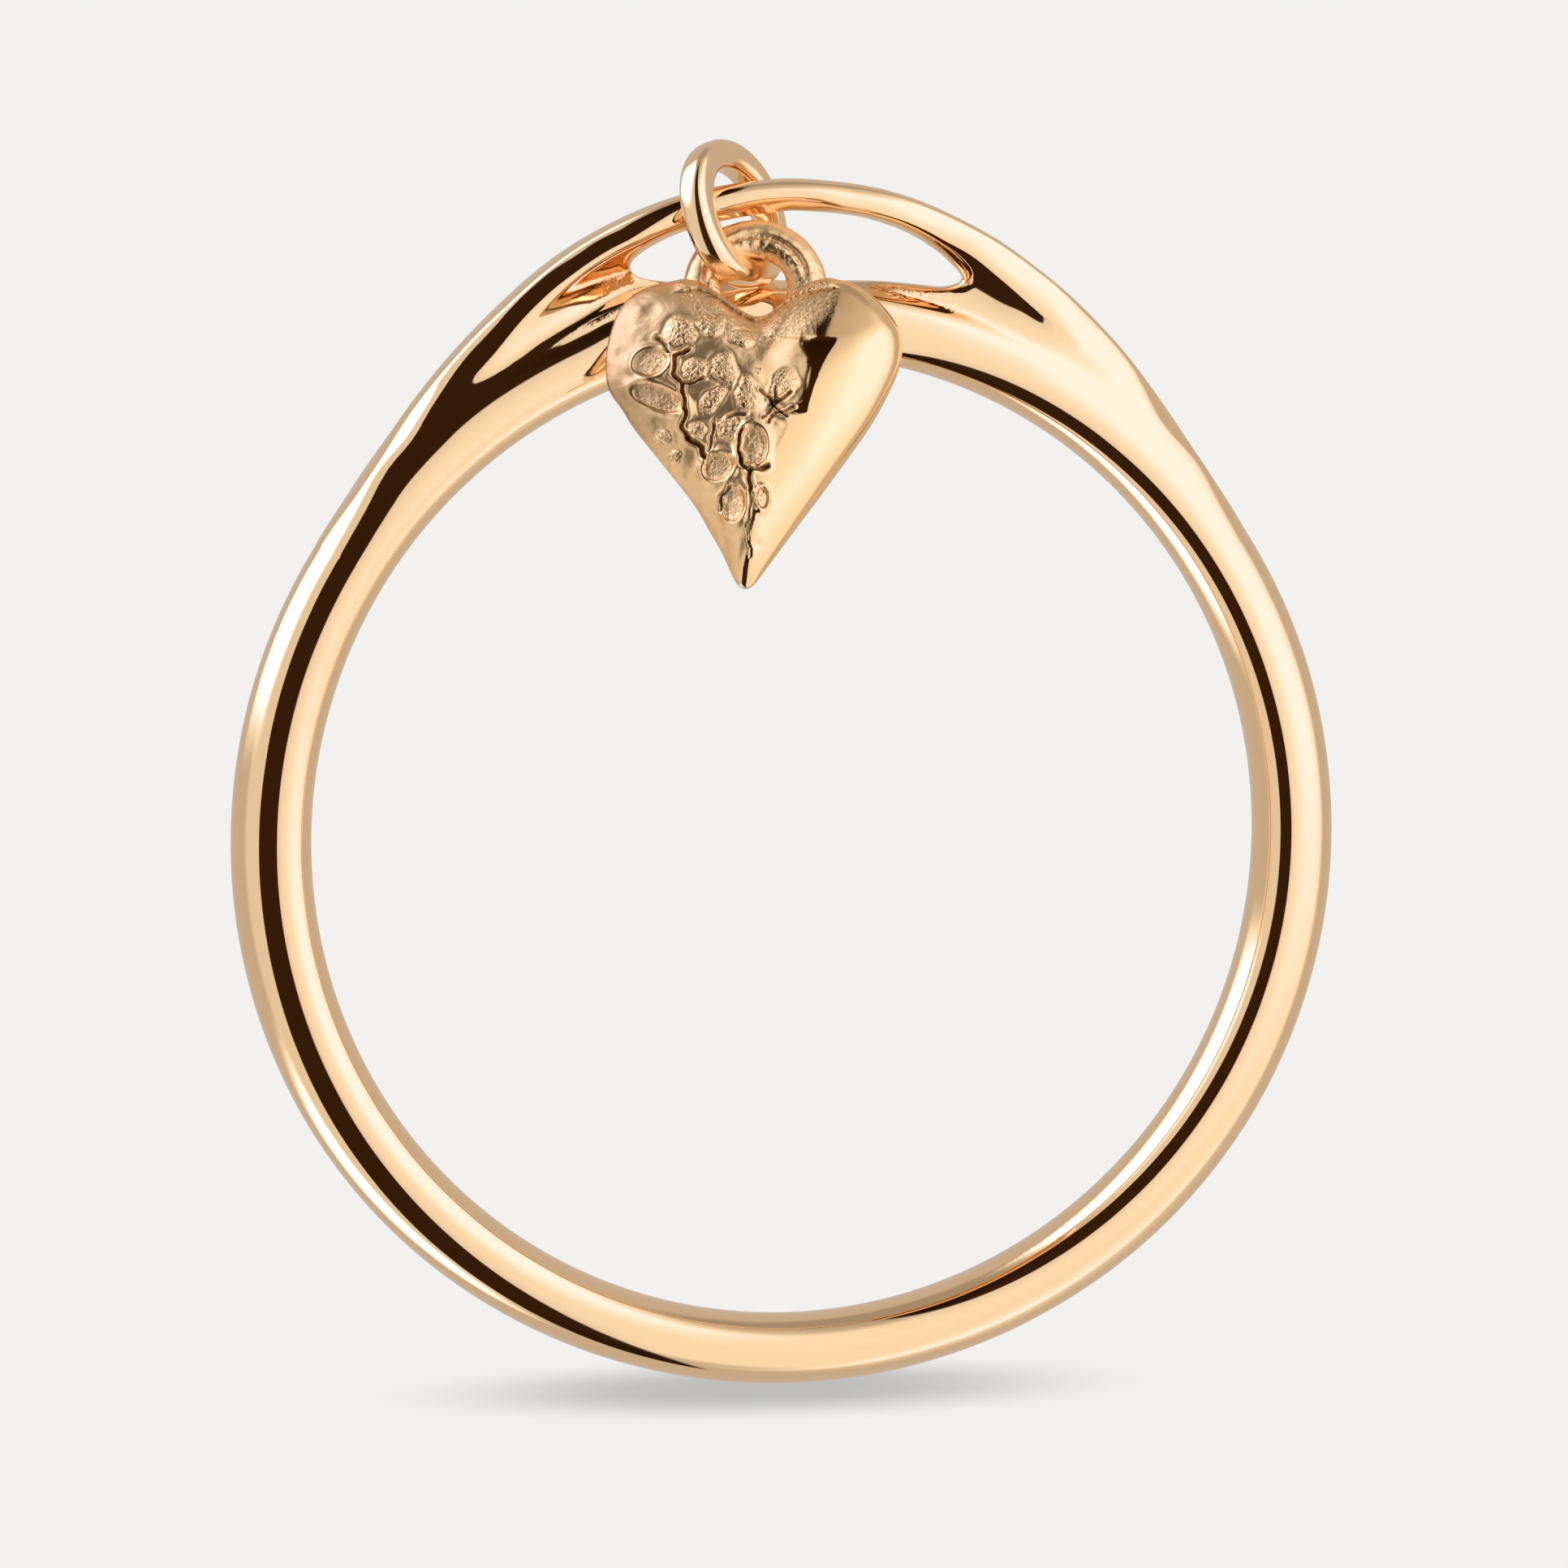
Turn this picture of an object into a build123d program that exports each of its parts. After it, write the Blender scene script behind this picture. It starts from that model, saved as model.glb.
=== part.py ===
from build123d import *
from math import atan2, cos, hypot, pi, radians, sin, sqrt
import os

# A finger ring lying on its side, in millimetres. The finger's axis is +Z, the forked top of the
# band is towards +Y, the origin is the centre of the finger hole, and +Z is the side that the
# heart hangs over. Angles run from +Y towards +X, in degrees.

# Driving dimensions of the band
finger_diameter = 17.3
band_side_wall = 1.44
band_bottom_wall = 1.28
band_axial = 1.70
crest_share = 0.425

# The fork at the top: a lower strand that closes the finger hole and a thin upper strand over it
lower_wall = 1.34
lower_axial = 1.36
fork_swell = 0.30
crescent_height = 1.27
upper_wall = 0.56
upper_axial = 0.65
upper_lift = 0.27
web_axial = 0.60
gap_left_angle = -15.5
gap_right_angle = 17.5

# The jump ring, its turn about +Z and its rise out of the band's plane
jump_wire = 0.56
jump_turn = 31.6
jump_rise = 35.7
link_angle = -4.74
ring_pull = (-0.21, -0.66, 0.72)
heart_pull = (0.22, -0.89, 0.41)

# The heart and its cast loop
loop_hole = 1.15
loop_wire = 0.71
loop_axial = 0.54
loop_grip_angle = 106.5
heart_width = 5.31
heart_length = 5.83
heart_thickness = 1.30
heart_drop = 2.45
heart_shift = -0.05
heart_turn = -8.6
pebble_height = 0.11
crater_depth = 0.13
crater_rim = 0.09

# Clearances between pieces that move on each other
link_clearance = 0.06

finger_radius = finger_diameter / 2
lower_top = finger_radius + lower_wall
upper_top = lower_top + crescent_height + upper_wall
loop_mean = (loop_hole + loop_wire) / 2

# Length of a curve's handle, as a share of the radius, at which it follows a quarter ellipse
handle_share = 0.5523

# Sections of the band from the top to the bottom, the same on both sides:
# angle, shares of lower_wall, band_side_wall, band_bottom_wall, fork_swell, lower_axial, band_axial
band_sections = [
    (0, 1.00, 0.00, 0.00, 0.00, 1.00, 0.00),
    (3, 1.00, 0.00, 0.00, 0.03, 1.00, 0.00),
    (8, 0.90, 0.10, 0.00, 0.25, 1.00, 0.00),
    (15, 0.60, 0.40, 0.00, 0.90, 0.95, 0.05),
    (22, 0.30, 0.70, 0.00, 1.00, 0.70, 0.30),
    (30, 0.10, 0.90, 0.00, 0.65, 0.45, 0.55),
    (40, 0.00, 1.00, 0.00, 0.25, 0.20, 0.80),
    (50, 0.00, 1.00, 0.00, 0.05, 0.05, 0.95),
    (60, 0.00, 1.00, 0.00, 0.00, 0.00, 1.00),
    (75, 0.00, 1.00, 0.00, 0.00, 0.00, 1.00),
    (90, 0.00, 1.00, 0.00, 0.00, 0.00, 1.00),
    (105, 0.00, 1.00, 0.00, 0.00, 0.00, 1.00),
    (120, 0.00, 0.95, 0.05, 0.00, 0.00, 1.00),
    (135, 0.00, 0.70, 0.30, 0.00, 0.00, 1.00),
    (150, 0.00, 0.30, 0.70, 0.00, 0.00, 1.00),
    (165, 0.00, 0.05, 0.95, 0.00, 0.00, 1.00),
    (177, 0.00, 0.00, 1.00, 0.00, 0.00, 1.00),
    (180, 0.00, 0.00, 1.00, 0.00, 0.00, 1.00),
]

# Sections of the upper strand from left to right:
# angle, rise of its outer edge as a share of the whole rise, shares of its wall, axial size and lift
upper_sections = [
    (-68, -0.19, 0.90, 1.40, 0.00),
    (-59, -0.06, 1.05, 1.60, 0.00),
    (-50, 0.044, 1.20, 1.60, 0.15),
    (-40, 0.208, 1.15, 1.45, 0.45),
    (-30, 0.443, 1.05, 1.22, 0.80),
    (-20, 0.727, 1.00, 1.05, 1.00),
    (-10, 0.934, 1.00, 1.00, 1.00),
    (0, 1.000, 1.00, 1.00, 1.00),
    (10, 0.940, 1.00, 1.00, 1.00),
    (20, 0.770, 1.00, 1.05, 1.00),
    (30, 0.514, 1.05, 1.22, 0.80),
    (40, 0.268, 1.15, 1.45, 0.45),
    (50, 0.087, 1.20, 1.60, 0.15),
    (60, -0.03, 1.05, 1.60, 0.00),
    (69, -0.16, 0.90, 1.40, 0.00),
]

# Half outlines of the heart from the cleft to the tip, as shares of its width and length
heart_left = [
    (0.020, 0.290),
    (-0.094, 0.377),
    (-0.198, 0.412),
    (-0.331, 0.400),
    (-0.439, 0.334),
    (-0.503, 0.177),
    (-0.488, 0.060),
    (-0.356, -0.115),
    (-0.203, -0.302),
    (-0.119, -0.446),
    (-0.066, -0.535),
]
heart_tip = (-0.036, -0.560)
heart_right = [
    (-0.006, -0.540),
    (0.036, -0.489),
    (0.217, -0.262),
    (0.386, -0.045),
    (0.476, 0.111),
    (0.497, 0.216),
    (0.467, 0.298),
    (0.392, 0.381),
    (0.294, 0.432),
    (0.194, 0.420),
    (0.104, 0.369),
]

# The heart's wall and dome: scale of the outline, height as a share of the thickness
heart_dome = [
    (0.92, 0.00),
    (0.985, 0.14),
    (1.00, 0.36),
    (0.97, 0.62),
    (0.88, 0.82),
    (0.72, 0.93),
    (0.50, 0.98),
    (0.25, 1.00),
]

# Cast relief on the heart's left side, as shares of its width and length: x, y, radius over width
heart_pebbles = [
    (-0.258, 0.225, 0.053),
    (-0.151, 0.244, 0.047),
    (-0.209, 0.101, 0.045),
    (-0.107, 0.082, 0.043),
    (-0.147, -0.010, 0.040),
    (-0.030, 0.010, 0.051),
    (-0.102, -0.082, 0.035),
    (-0.203, -0.082, 0.030),
    (0.015, -0.300, 0.030),
]
heart_craters = [
    (-0.356, 0.137, 0.050),
    (-0.360, 0.042, 0.036),
    (-0.296, 0.012, 0.036),
    (-0.017, -0.142, 0.055),
    (-0.134, -0.196, 0.045),
    (-0.083, -0.312, 0.045),
]


def blend(table, x):
    """Straight-line reading of a table of rows that rise by their first column."""
    if x <= table[0][0]:
        return table[0][1:]
    for low, high in zip(table, table[1:]):
        if x <= high[0]:
            t = (x - low[0]) / (high[0] - low[0])
            return tuple(p + (q - p) * t for p, q in zip(low[1:], high[1:]))
    return table[-1][1:]


def outward(angle):
    return Vector(sin(radians(angle)), cos(radians(angle)), 0)


def oval(angle, radius, inner, outer, level, half):
    """Egg-shaped section on the plane through the finger's axis, of four quarter ellipses."""
    side = outward(angle)
    middle = side * radius + Vector(0, 0, level)
    arms = [side * outer, Vector(0, 0, half), side * -inner, Vector(0, 0, -half)]
    quarters = []
    for p, q in zip(arms, arms[1:] + arms[:1]):
        handles = (middle + p + q * handle_share, middle + q + p * handle_share)
        quarters.append(Edge.make_bezier(middle + p, *handles, middle + q))
    return Wire(quarters)


def band_size(angle):
    """Wall and half axial size of the band or lower strand at an angle."""
    low, side, bottom, swell, low_axial, full_axial = blend(band_sections, abs(angle))
    wall = low * lower_wall + side * band_side_wall + bottom * band_bottom_wall + swell * fork_swell
    return wall, (low_axial * lower_axial + full_axial * band_axial) / 2


def band_oval(angle):
    wall, half = band_size(angle)
    inner = crest_share * wall
    return oval(angle, finger_radius + inner, inner, wall - inner, 0, half)


def upper_size(angle):
    """Centre radius, half wall, level and half axial size of the upper strand at an angle."""
    rise, wall, axial, lift = blend(upper_sections, angle)
    half_wall = wall * upper_wall / 2
    radius = lower_top + rise * (upper_top - lower_top) - half_wall
    return radius, half_wall, lift * upper_lift, axial * upper_axial / 2


def upper_oval(angle):
    radius, half_wall, level, half = upper_size(angle)
    return oval(angle, radius, half_wall, half_wall, level, half)


def web_oval(angle):
    """Section of the thin web that closes a fork, from inside the band to inside the upper strand."""
    wall, band_half = band_size(angle)
    radius, half_wall, level, half = upper_size(angle)
    low = finger_radius + wall * 0.8
    high = radius + half_wall * 0.2
    reach = max(high - low, half_wall) / 2
    return oval(angle, high - reach, reach, reach, level / 2, web_axial / 2)


def make_band():
    angles = [row[0] for row in band_sections]
    right = Solid.make_loft([band_oval(a) for a in angles])
    left = Solid.make_loft([band_oval(-a) for a in angles])
    upper = Solid.make_loft([upper_oval(row[0]) for row in upper_sections])
    webs = []
    for start, way in ((gap_left_angle, -1), (gap_right_angle, 1)):
        webs.append(Solid.make_loft([web_oval(start + way * step) for step in (0, 6, 13, 22)]))
    return right.fuse(left).fuse(upper, *webs)


def heart_outline(scale, height):
    """The heart's closed outline at a scale about its centre and a height over its back."""
    def place(share):
        return Vector(
            heart_shift + share[0] * heart_width * scale,
            -heart_drop + share[1] * heart_length * scale,
            height - loop_axial / 2,
        )

    left = Edge.make_spline([place(p) for p in heart_left])
    tip = Edge.make_three_point_arc(place(heart_left[-1]), place(heart_tip), place(heart_right[0]))
    right = Edge.make_spline([place(p) for p in heart_right + heart_left[:1]])
    return Wire([left, tip, right])


def dome_height(x, y):
    """Height of the heart's front at a place given as shares of its width and length."""
    ring = heart_left + [heart_tip] + heart_right
    polar = sorted((atan2(q, p), hypot(p, q)) for p, q in ring)
    polar = [(polar[-1][0] - 2 * pi, polar[-1][1])] + polar + [(polar[0][0] + 2 * pi, polar[0][1])]
    share = hypot(x, y) / blend(polar, atan2(y, x))[0]
    front = sorted(heart_dome[2:])
    return blend(front, share)[0] * heart_thickness - loop_axial / 2


def ball_cap(x, y, radius, proud):
    """A ball that stands proud of the heart's front as a cap of the given radius."""
    ball = (radius * radius + proud * proud) / (2 * proud)
    place = Vector(heart_shift + x * heart_width, -heart_drop + y * heart_length, dome_height(x, y))
    return ball, place


def make_heart_local():
    """The heart with its loop about the local origin, its back towards -Z."""
    body = Solid.make_loft([heart_outline(s, h * heart_thickness) for s, h in heart_dome])
    hole = Solid.make_cylinder(loop_hole / 2, 4 * heart_thickness, Plane((0, 0, -2 * heart_thickness)))
    body = body.cut(hole)
    for x, y, share in heart_pebbles:
        ball, place = ball_cap(x, y, share * heart_width, pebble_height)
        body = body.fuse(Solid.make_sphere(ball, Plane(place - Vector(0, 0, ball - pebble_height))))
    for x, y, share in heart_craters:
        rim = share * heart_width
        ball, place = ball_cap(x, y, rim, crater_depth)
        body = body.fuse(Solid.make_torus(rim, crater_rim, Plane(place)))
        body = body.cut(Solid.make_sphere(ball, Plane(place + Vector(0, 0, ball - crater_depth))))
    wire = oval(90, loop_mean, loop_wire / 2, loop_wire / 2, 0, loop_axial / 2)
    loop = Solid.revolve(Face(wire), 360, Axis.Z)
    return body.fuse(loop)


def ring_distance(points, centre, normal, radius):
    """Smallest distance from any point to the circle that the jump ring's wire follows."""
    least = 1e9
    for p in points:
        from_centre = p - centre
        height = from_centre.dot(normal)
        across = sqrt(max(from_centre.dot(from_centre) - height * height, 0))
        least = min(least, hypot(across - radius, height))
    return least


def upper_points():
    """Points on the upper strand's surface about the place where the jump ring hangs."""
    points = []
    for step in range(-16, 17):
        angle = link_angle + step
        radius, half_wall, level, half = upper_size(angle)
        for k in range(24):
            turn = k * pi / 12
            reach = radius + half_wall * cos(turn)
            points.append(outward(angle) * reach + Vector(0, 0, level + half * sin(turn)))
    return points


def loop_points(frame):
    """Points on the loop's surface, placed by a plane at the loop's centre."""
    points = []
    for j in range(72):
        along = j * pi / 36
        for k in range(16):
            turn = k * pi / 8
            reach = loop_mean + loop_wire / 2 * cos(turn)
            point = Vector(reach * cos(along), reach * sin(along), loop_axial / 2 * sin(turn))
            points.append(frame.from_local_coords(point))
    return points


def largest_share(fits):
    """The largest share from 0 to 1, to a hundredth of a percent, at which a test still holds."""
    low, high = 0.0, 1.0
    for step in range(13):
        middle = (low + high) / 2
        low, high = (middle, high) if fits(middle) else (low, middle)
    return low


def heart_plane(grip, lean):
    """Plane at the loop's centre, leaning by an angle, so that the loop's wire passes the grip point."""
    facing = Vector(sin(radians(heart_turn)), sin(lean), cos(lean)).normalized()
    across = Vector(0, 1, 0).cross(facing).normalized()
    turned = Plane((0, 0, 0), x_dir=across, z_dir=facing)
    at_grip = Vector(cos(radians(loop_grip_angle)), sin(radians(loop_grip_angle)), 0) * loop_mean
    return Plane(grip - turned.from_local_coords(at_grip), x_dir=across, z_dir=facing)


def leaning_plane(grip):
    """The heart hangs from the grip point and its back rests off the lower strand's crest."""
    strand = []
    for angle in range(-20, 21, 2):
        wall, half = band_size(angle)
        crest = finger_radius + crest_share * wall
        for k in range(13):
            turn = k * pi / 12
            reach = crest + (1 - crest_share) * wall * cos(turn)
            strand.append(outward(angle) * reach + Vector(0, 0, half * sin(turn)))

    def clears(share):
        plane = heart_plane(grip, (1 - share) * pi / 4)
        highest = max((p - plane.origin).dot(plane.z_dir) for p in strand)
        return highest + loop_axial / 2 + link_clearance < 0

    return heart_plane(grip, (1 - largest_share(clears)) * pi / 4)


def place_link():
    """Places of the jump ring and the heart, worked out from the strand, the wires and the clearances."""
    hole = hypot(upper_wall, upper_axial) + hypot(loop_wire, loop_axial)
    radius = (hole + jump_wire) / 2
    normal = Vector(
        cos(radians(jump_rise)) * cos(radians(jump_turn)),
        cos(radians(jump_rise)) * sin(radians(jump_turn)),
        sin(radians(jump_rise)),
    )
    ring_way, heart_way = (
        (Vector(pull) - normal * Vector(pull).dot(normal)).normalized() for pull in (ring_pull, heart_pull)
    )
    strand_radius, half_wall, level, half = upper_size(link_angle)
    strand = outward(link_angle) * strand_radius + Vector(0, 0, level)
    near = upper_points()
    keep = jump_wire / 2 + link_clearance

    def clears_strand(share):
        return ring_distance(near, strand + ring_way * (share * radius), normal, radius) > keep

    centre = strand + ring_way * (largest_share(clears_strand) * radius)

    def clears_loop(share):
        plane = leaning_plane(centre + heart_way * (share * radius))
        return ring_distance(loop_points(plane), centre, normal, radius) > keep

    grip = centre + heart_way * (largest_share(clears_loop) * radius)
    return radius, centre, normal, leaning_plane(grip)


def main():
    os.makedirs("parts", exist_ok=True)
    radius, centre, normal, heart_frame = place_link()
    print("jump ring", radius, centre, normal)
    print("heart plane", heart_frame.origin, heart_frame.z_dir)
    jump = Solid.make_torus(radius, jump_wire / 2, Plane(centre, z_dir=normal))
    nodes = {
        "ring_band": make_band(),
        "jump_ring": jump,
        "heart_charm": make_heart_local().moved(heart_frame.location),
    }
    for name, solid in nodes.items():
        export_step(solid, f"parts/{name}.step")


main()
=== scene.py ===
import math

import bmesh
import bpy
import numpy as np
from mathutils import Matrix, Vector


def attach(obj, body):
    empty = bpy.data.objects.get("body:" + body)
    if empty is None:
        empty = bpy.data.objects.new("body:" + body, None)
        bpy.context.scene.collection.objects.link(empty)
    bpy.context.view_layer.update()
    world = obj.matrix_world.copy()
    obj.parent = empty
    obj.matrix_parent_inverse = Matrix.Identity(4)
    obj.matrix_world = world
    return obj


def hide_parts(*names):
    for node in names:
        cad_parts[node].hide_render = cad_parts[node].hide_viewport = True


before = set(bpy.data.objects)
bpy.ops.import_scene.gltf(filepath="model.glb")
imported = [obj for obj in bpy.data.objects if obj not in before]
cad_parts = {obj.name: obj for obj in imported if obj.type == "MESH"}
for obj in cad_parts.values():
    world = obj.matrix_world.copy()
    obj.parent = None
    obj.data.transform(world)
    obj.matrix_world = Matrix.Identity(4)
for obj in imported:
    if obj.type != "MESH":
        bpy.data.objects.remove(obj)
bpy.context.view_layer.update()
mm = 0.001  # shapes below are in millimetres, Blender is in metres


# sRGB hex to linear: c / 12.92 below 0.04045, else ((c + 0.055) / 1.055) ^ 2.4
def hexToLinear(code):
    parts = [int(code[i:i + 2], 16) / 255 for i in (1, 3, 5)]
    return [c / 12.92 if c <= 0.04045 else ((c + 0.055) / 1.055) ** 2.4 for c in parts] + [1.0]


# Adds a shader node with its settings; an input is a plain value, or a socket that gets linked to it
def addNode(tree, kind, inputs=None, **settings):
    node = tree.nodes.new("ShaderNode" + kind)
    for key, value in settings.items():
        setattr(node, key, value)
    for key, value in (inputs or {}).items():
        if isinstance(value, bpy.types.NodeSocket):
            tree.links.new(value, node.inputs[key])
        else:
            node.inputs[key].default_value = value
    return node


# Result of a math node, its inputs given in order
def addMath(tree, operation, *values):
    return addNode(tree, "Math", dict(enumerate(values)), operation=operation).outputs[0]


# A value taken from between low and high to between first and last, and held there
def addRange(tree, value, low, high, first=0.0, last=1.0, ease="LINEAR"):
    inputs = {"Value": value, "From Min": low, "From Max": high, "To Min": first, "To Max": last}
    return addNode(tree, "MapRange", inputs, interpolation_type=ease).outputs[0]


# Two colours mixed by the share of the second; on this node colours are inputs 6 and 7 and output 2
def addMix(tree, share, first, second):
    return addNode(tree, "Mix", {0: share, 6: first, 7: second}, data_type="RGBA").outputs[2]


# Quads of a grid of points, row by row: (i, j), (i, j+1), (i+1, j+1), (i+1, j)
def gridFaces(rows, columns, start=0, closeRows=False, closeColumns=False, flip=False):
    i = np.arange(rows if closeRows else rows - 1)[:, None]
    j = np.arange(columns if closeColumns else columns - 1)[None, :]
    iNext = (i + 1) % rows
    jNext = (j + 1) % columns
    corners = [i * columns + j, i * columns + jNext, iNext * columns + jNext, iNext * columns + j]
    quads = np.stack(np.broadcast_arrays(*corners), -1).reshape(-1, 4) + start
    return quads[:, ::-1] if flip else quads


# 3 t^2 - 2 t^3 with t from 0 at low to 1 at high
def smoothStep(low, high, x):
    t = np.clip((x - low) / (high - low), 0, 1)
    return t * t * (3 - 2 * t)


# Bell of height 1: exp(-(x / width)^2)
def bell(x, width):
    return np.exp(-(x / width) ** 2)


farAway = 9.0  # mm, further than any distance that matters


# Distance to a line of straight runs: |p - a - t (b - a)| with t the nearest share of each run
def lineDistance(x, y, points):
    least = np.full(x.shape, farAway)
    for (ax, ay), (bx, by) in zip(points, points[1:]):
        run = (bx - ax) ** 2 + (by - ay) ** 2 + 1e-12  # never 0, also where two points fall together
        t = np.clip(((x - ax) * (bx - ax) + (y - ay) * (by - ay)) / run, 0, 1)
        least = np.minimum(least, np.hypot(x - ax - t * (bx - ax), y - ay - t * (by - ay)))
    return least


# Each value of a closed row as the mean of its neighbours, with weights exp(-(steps / width)^2 / 2)
def blurClosed(values, width, reach):
    weights = np.exp(-(np.arange(-reach, reach + 1) / width) ** 2 / 2)
    wrapped = np.concatenate([values[-reach:], values, values[:reach]])
    return np.convolve(wrapped, weights / weights.sum(), "valid")


ringStep = 0.25  # degrees between the values read from the band's tables
ringReach = 60  # steps each way that a blur takes in
ringAngles = np.arange(-180, 180, ringStep)


# Reads one column of a table of rows of angle and values, all round the ring, blurred over some degrees
def ringTable(rows, column, blur):
    known = np.array(rows, float)
    values = np.interp(ringAngles, known[:, 0], known[:, column])
    return blurClosed(values, blur / ringStep, ringReach)


# What was read by ringTable at any angle, straight between its steps
def readRing(values, u):
    return np.interp(u, ringAngles, values, period=360)


# Puts points in mm and lists of faces into a mesh at the origin that stands for a CAD node
def addPiece(name, points, faceGroups, node, material, uv=None, attributes=None, merge=0.0):
    mesh = bpy.data.meshes.new(name)
    mesh.from_pydata((points * mm).tolist(), [], [face for group in faceGroups for face in group.tolist()])
    if uv is not None:
        layer = mesh.uv_layers.new(name="surface")
        corners = np.concatenate([group.ravel() for group in faceGroups])
        layer.data.foreach_set("uv", uv[corners].astype(np.float32).ravel())
    for key, values in (attributes or {}).items():
        layer = mesh.attributes.new(key, "FLOAT", "POINT")
        layer.data.foreach_set("value", values.astype(np.float32))
    if merge:
        bm = bmesh.new()
        bm.from_mesh(mesh)
        bmesh.ops.remove_doubles(bm, verts=bm.verts, dist=merge * mm)
        bmesh.ops.dissolve_degenerate(bm, edges=bm.edges, dist=merge * mm)
        bm.to_mesh(mesh)
        bm.free()
    mesh.polygons.foreach_set("use_smooth", [True] * len(mesh.polygons))
    mesh.materials.append(material)
    mesh.update()
    piece = bpy.data.objects.new(name, mesh)
    bpy.context.scene.collection.objects.link(piece)
    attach(piece, "root")
    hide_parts(node)
    print(name, "has", sum(len(p.vertices) - 2 for p in mesh.polygons), "triangles")


# A metal material, its node tree and its shader
def newMetal(name):
    material = bpy.data.materials.new(name)
    material.use_nodes = True
    shader = material.node_tree.nodes["Principled BSDF"]
    shader.inputs["Metallic"].default_value = 1.0
    return material, material.node_tree, shader


# A bump as high as depth times noise times share, its grains size mm across, on top of the bump below
def addGrain(tree, place, share, size, depth, noise, below=None):
    grain = addNode(tree, "TexNoise", {"Vector": place.outputs["Object"], "Scale": 1 / (size * mm), **noise})
    height = addMath(tree, "MULTIPLY", grain.outputs["Fac"], share.outputs["Fac"])
    inputs = {"Height": height, "Strength": 1.0, "Distance": depth * mm}
    if below is not None:
        inputs["Normal"] = below.outputs["Normal"]
    return addNode(tree, "Bump", inputs)


# Polished rose-yellow gold: close to a mirror with faint polishing marks, so it shows the studio; where the
# wheel didn't reach, the attribute castSkin leaves the grain of the casting and a duller skin
polishedGold = {
    "colour": "#fbd8ac", "roughness": 0.035,
    "wornSize": 1.4, "wornRange": (0.35, 0.7), "wornTimes": 1.6,  # worn spots are this many times as rough
    "markSpacing": 0.05,  # drawn coarser than the real marks, about 0.01 mm apart, so that they show
    "marksAlong": 0.35,  # marks to a millimetre of length
    "markDepth": 0.0010, "markStrength": 0.25,
    "skinGrain": 0.11, "skinDepth": 0.07, "skinRoughness": 0.18,
}


# Roughness is the polish times 1 to wornTimes by a slow noise, plus the skin's share; the bump is the skin's
# grain on top of marks that run along the piece
def makePolishedGold(name, settings):
    material, tree, shader = newMetal(name)
    shader.inputs["Base Color"].default_value = hexToLinear(settings["colour"])
    place = addNode(tree, "TexCoord")
    skin = addNode(tree, "Attribute", attribute_name="castSkin")
    worn = addNode(tree, "TexNoise", {
        "Vector": place.outputs["Object"], "Scale": 1 / (settings["wornSize"] * mm), "Detail": 4.0})
    least, most = settings["roughness"], settings["roughness"] * settings["wornTimes"]
    polish = addRange(tree, worn.outputs["Fac"], *settings["wornRange"], least, most)
    gloss = addMath(tree, "MULTIPLY_ADD", skin.outputs["Fac"], settings["skinRoughness"], polish)
    along = addNode(tree, "Mapping", {
        "Vector": place.outputs["UV"], "Scale": (settings["marksAlong"], 1 / settings["markSpacing"], 1.0)})
    marks = addNode(tree, "TexNoise", {"Vector": along.outputs["Vector"], "Scale": 1.0, "Detail": 2.0})
    marked = addNode(tree, "Bump", {
        "Height": marks.outputs["Fac"], "Strength": settings["markStrength"],
        "Distance": settings["markDepth"] * mm})
    bump = addGrain(tree, place, skin, settings["skinGrain"], settings["skinDepth"], {"Detail": 3.0}, marked)
    tree.links.new(gloss, shader.inputs["Roughness"])
    tree.links.new(bump.outputs["Normal"], shader.inputs["Normal"])
    return material


# Cast gold, tumbled: polished where castSkin is 0, satin where it is 1, crumpled like foil where castGrain
# is 1, darkened to a dark brown by painted shade where its painted-shade attribute is 1
castGold = {
    # the dark brown second colour is painted shade for the cracks, pores, loop groove and left lobe
    "colour": "#fdd5a0", "paintedShadeColour": "#2e1a10", "polished": 0.06, "satin": 0.42,
    "grainSize": 0.068, "grainDepth": 0.036, "waveSize": 0.42, "waveDepth": 0.035,
}


# Roughness runs from polished to satin with castSkin; the bump is waves times castSkin on top of grain times
# castGrain
def makeCastGold(name, settings):
    material, tree, shader = newMetal(name)
    place = addNode(tree, "TexCoord")
    skin = addNode(tree, "Attribute", attribute_name="castSkin")
    crumpled = addNode(tree, "Attribute", attribute_name="castGrain")
    shadeAmount = addNode(tree, "Attribute", attribute_name="paintedShade")
    unshaded, shaded = (hexToLinear(settings[key]) for key in ("colour", "paintedShadeColour"))
    # painted shade: the gold's colour turns to the dark brown shade colour by the painted-shade attribute
    colour = addMix(tree, shadeAmount.outputs["Fac"], unshaded, shaded)
    foil = {"Detail": 2.5, "Roughness": 0.55, "Distortion": 0.6}
    crumple = addGrain(tree, place, crumpled, settings["grainSize"], settings["grainDepth"], foil)
    bump = addGrain(tree, place, skin, settings["waveSize"], settings["waveDepth"], {"Detail": 2.0}, crumple)
    gloss = addRange(tree, skin.outputs["Fac"], 0.0, 1.0, settings["polished"], settings["satin"])
    tree.links.new(colour, shader.inputs["Base Color"])
    tree.links.new(gloss, shader.inputs["Roughness"])
    tree.links.new(bump.outputs["Normal"], shader.inputs["Normal"])
    return material


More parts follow.
